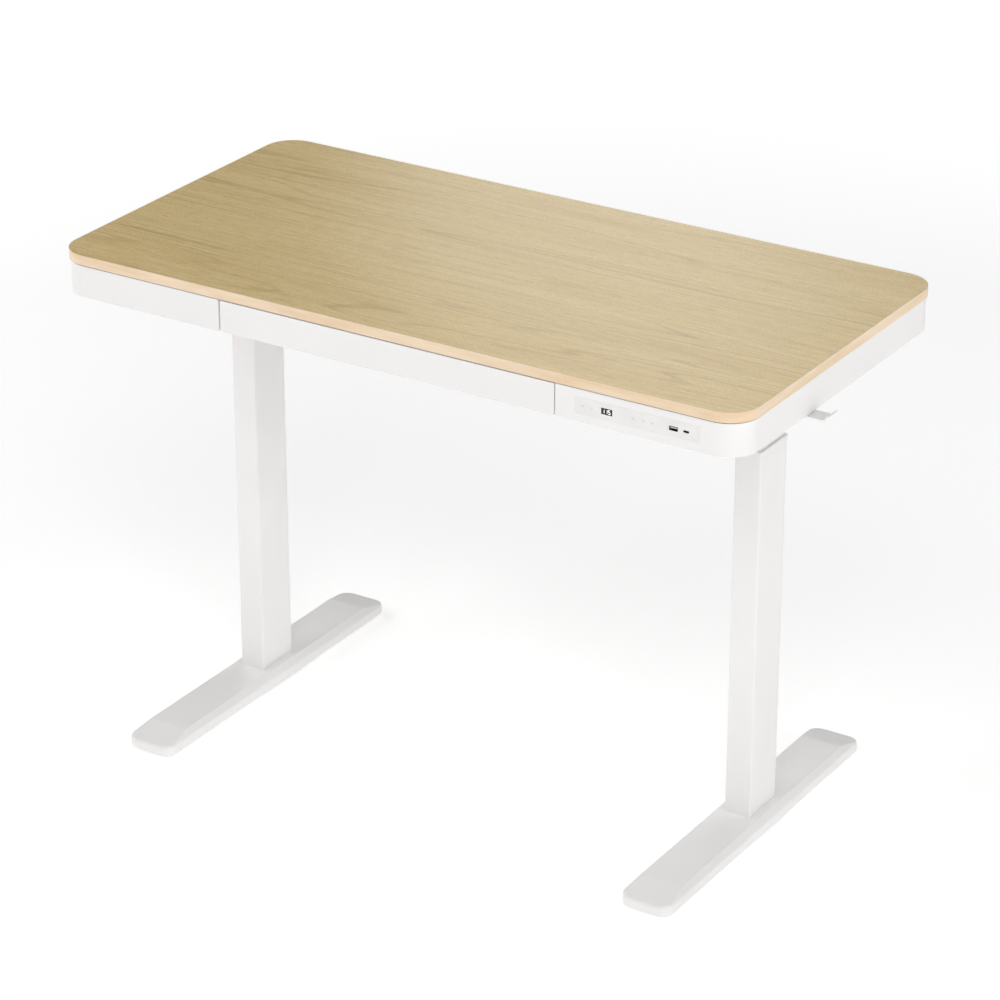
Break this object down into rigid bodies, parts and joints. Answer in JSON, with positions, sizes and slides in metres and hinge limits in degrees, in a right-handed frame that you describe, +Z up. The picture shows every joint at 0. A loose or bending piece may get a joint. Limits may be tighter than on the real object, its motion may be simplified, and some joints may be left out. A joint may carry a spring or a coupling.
{
  "type": "height adjustable standing desk",
  "caption": "Sit-stand desk with a wood-grain top, white apron, shallow drawer, touch panel with USB ports, side hook and screw-driven telescopic legs on bevelled feet.",
  "frame": {"origin": "on the floor below the middle of the worktop", "axes": "+X along the desk to the end with the touch panel and the hook, +Y from the drawer front to the back, +Z up"},
  "size_m": [1.2307, 0.624, 0.8355],
  "materials": {
    "oak_laminate": "light oak laminate, satin, grain along the desk",
    "edge_band": "pale matching edge band",
    "white_apron": "white powder coat, fine matt",
    "white_steel": "white powder coat, fine matt",
    "frame_steel": "light grey powder coat",
    "gearbox_alloy": "die cast",
    "zinc_steel": "zinc plated",
    "port_shell": "darkened spring steel",
    "brass_gear": "machined",
    "acetal": "natural acetal",
    "grey_plastic": "moulded, matt",
    "black_plastic": "moulded, fine texture",
    "motor_paint": "dark grey paint",
    "gloss_white": "gloss white touch surface",
    "display": "dark display window",
    "circuit_board": "green solder mask",
    "hook_paint": "white powder coat",
    "tray_plastic": "light grey moulding",
    "felt": "grey felt",
    "glide_rubber": "black rubber-shod glide"
  },
  "bodies": {
    "left_base": {"foot_left": "white_steel", "base_plate_left": "zinc_steel", "foot_bolts_left": "zinc_steel", "outer_tube_left": "white_steel", "guide_collar_left": "grey_plastic", "spindle_post_left": "zinc_steel", "spindle_nut_left": "acetal"},
    "right_base": {"foot_right": "white_steel", "base_plate_right": "zinc_steel", "foot_bolts_right": "zinc_steel", "outer_tube_right": "white_steel", "guide_collar_right": "grey_plastic", "spindle_post_right": "zinc_steel", "spindle_nut_right": "acetal"},
    "spindle_left": {"leadscrew_left": "zinc_steel", "spindle_gear_left": "brass_gear"},
    "spindle_right": {"leadscrew_right": "zinc_steel", "spindle_gear_right": "brass_gear"},
    "cross_shaft": {"drive_shaft": "zinc_steel", "shaft_gears": "brass_gear"},
    "slide_middle": {"slide_middles": "zinc_steel"},
    "drawer": {"drawer_front": "white_apron", "drawer_tray": "tray_plastic", "drawer_mat": "felt", "slide_inners": "zinc_steel"},
    "glide_front_left": {"glide_front_left": "glide_rubber"},
    "glide_front_right": {"glide_front_right": "glide_rubber"},
    "glide_back_left": {"glide_back_left": "glide_rubber"},
    "glide_back_right": {"glide_back_right": "glide_rubber"},
    "desk": {"desktop_board": "oak_laminate", "edge_band": "edge_band", "apron_left": "white_apron", "apron_right": "white_apron", "apron_back": "white_apron", "inner_tube_left": "white_steel", "inner_tube_right": "white_steel", "side_bracket_left": "frame_steel", "side_bracket_right": "frame_steel", "cross_rails": "frame_steel", "gearbox_left": "gearbox_alloy", "gearbox_right": "gearbox_alloy", "board_screws": "zinc_steel", "hook_screws": "zinc_steel", "slide_brackets": "zinc_steel", "slide_outers": "zinc_steel", "spindle_bearings": "zinc_steel", "usb_a_shell": "port_shell", "usb_c_shell": "port_shell", "tube_shoe_left": "grey_plastic", "tube_shoe_right": "grey_plastic", "control_box": "black_plastic", "power_inlet": "black_plastic", "motor_cable": "black_plastic", "panel_cable": "black_plastic", "usb_tongues": "black_plastic", "gear_motor": "motor_paint", "control_panel": "gloss_white", "display_window": "display", "panel_board": "circuit_board", "headphone_hook": "hook_paint"}
  },
  "joints": [
    {"name": "lift", "type": "slide", "parent": "left_base", "child": "desk", "axis": [0, 0, 1], "range_m": [-0.124, 0.356]},
    {"name": "right_leg", "type": "slide", "parent": "desk", "child": "right_base", "axis": [0, 0, -1], "range_m": [-0.124, 0.356]},
    {"name": "spindle_left_turn", "type": "hinge", "parent": "desk", "child": "spindle_left", "pos_m": [-0.4586, 0.0186, 0.786], "axis": [0, 0, 1], "continuous": true},
    {"name": "spindle_right_turn", "type": "hinge", "parent": "desk", "child": "spindle_right", "pos_m": [0.4586, 0.0186, 0.786], "axis": [0, 0, 1], "continuous": true},
    {"name": "cross_shaft_turn", "type": "hinge", "parent": "desk", "child": "cross_shaft", "pos_m": [0, 0.0186, 0.7985], "axis": [1, 0, 0], "continuous": true},
    {"name": "drawer_slide", "type": "slide", "parent": "desk", "child": "drawer", "axis": [0, -1, 0], "range_m": [0, 0.25]},
    {"name": "slide_middle_slide", "type": "slide", "parent": "desk", "child": "slide_middle", "axis": [0, -1, 0], "range_m": [0, 0.125]},
    {"name": "glide_front_left_screw", "type": "slide", "parent": "left_base", "child": "glide_front_left", "axis": [0, 0, -1], "range_m": [0, 0.008]},
    {"name": "glide_back_left_screw", "type": "slide", "parent": "left_base", "child": "glide_back_left", "axis": [0, 0, -1], "range_m": [0, 0.008]},
    {"name": "glide_front_right_screw", "type": "slide", "parent": "right_base", "child": "glide_front_right", "axis": [0, 0, -1], "range_m": [0, 0.008]},
    {"name": "glide_back_right_screw", "type": "slide", "parent": "right_base", "child": "glide_back_right", "axis": [0, 0, -1], "range_m": [0, 0.008]}
  ],
  "couplings": [
    {"joint": "right_leg", "follows": "lift", "ratio": 1},
    {"joint": "spindle_left_turn", "follows": "lift", "rad_per_m": 628.32},
    {"joint": "spindle_right_turn", "follows": "lift", "rad_per_m": 628.32},
    {"joint": "cross_shaft_turn", "follows": "lift", "rad_per_m": 628.32},
    {"joint": "slide_middle_slide", "follows": "drawer_slide", "ratio": 0.5}
  ]
}
